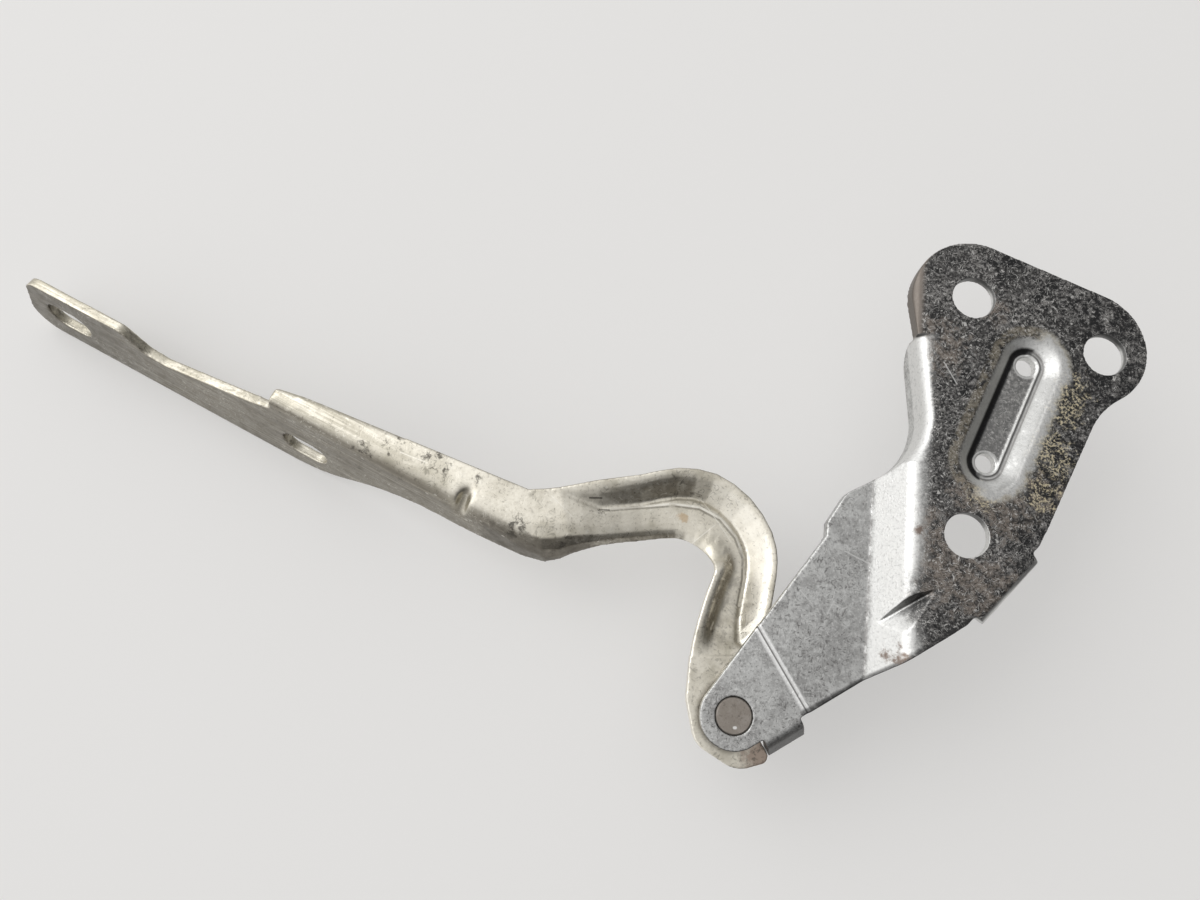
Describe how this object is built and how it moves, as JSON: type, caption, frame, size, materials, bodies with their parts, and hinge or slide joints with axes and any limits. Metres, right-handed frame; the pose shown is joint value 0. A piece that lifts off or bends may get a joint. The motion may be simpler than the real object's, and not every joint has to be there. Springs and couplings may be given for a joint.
{
  "type": "bonnet hinge",
  "caption": "Pressed steel bonnet hinge: a joggled body bracket with bolt holes, and a gooseneck arm with a slotted angled flange, turning on a flush riveted pivot.",
  "frame": {"origin": "centre of the lower body bolt hole, on the mounting face of the bracket", "axes": "+Z out of the mounting face and along the pivot, +X from the flange tip towards the bracket"},
  "size_m": [0.3041, 0.1319, 0.0427],
  "materials": {
    "bracket_zinc": "zinc plated and stained",
    "arm_zinc": "zinc plated, worn",
    "bush_bronze": "plain",
    "rivet_steel": "plain, dull",
    "washer_steel": "zinc plated"
  },
  "bodies": {
    "bracket": {"body_bracket": "bracket_zinc", "pivot_rivet": "rivet_steel", "thrust_washer": "washer_steel"},
    "arm": {"hinge_arm": "arm_zinc", "pivot_bush": "bush_bronze"}
  },
  "joints": [
    {"name": "bonnet_pivot", "type": "hinge", "parent": "bracket", "child": "arm", "pos_m": [-0.057, -0.042, -0.0149], "axis": [0, 0, -1], "range_deg": [0, 50]}
  ]
}
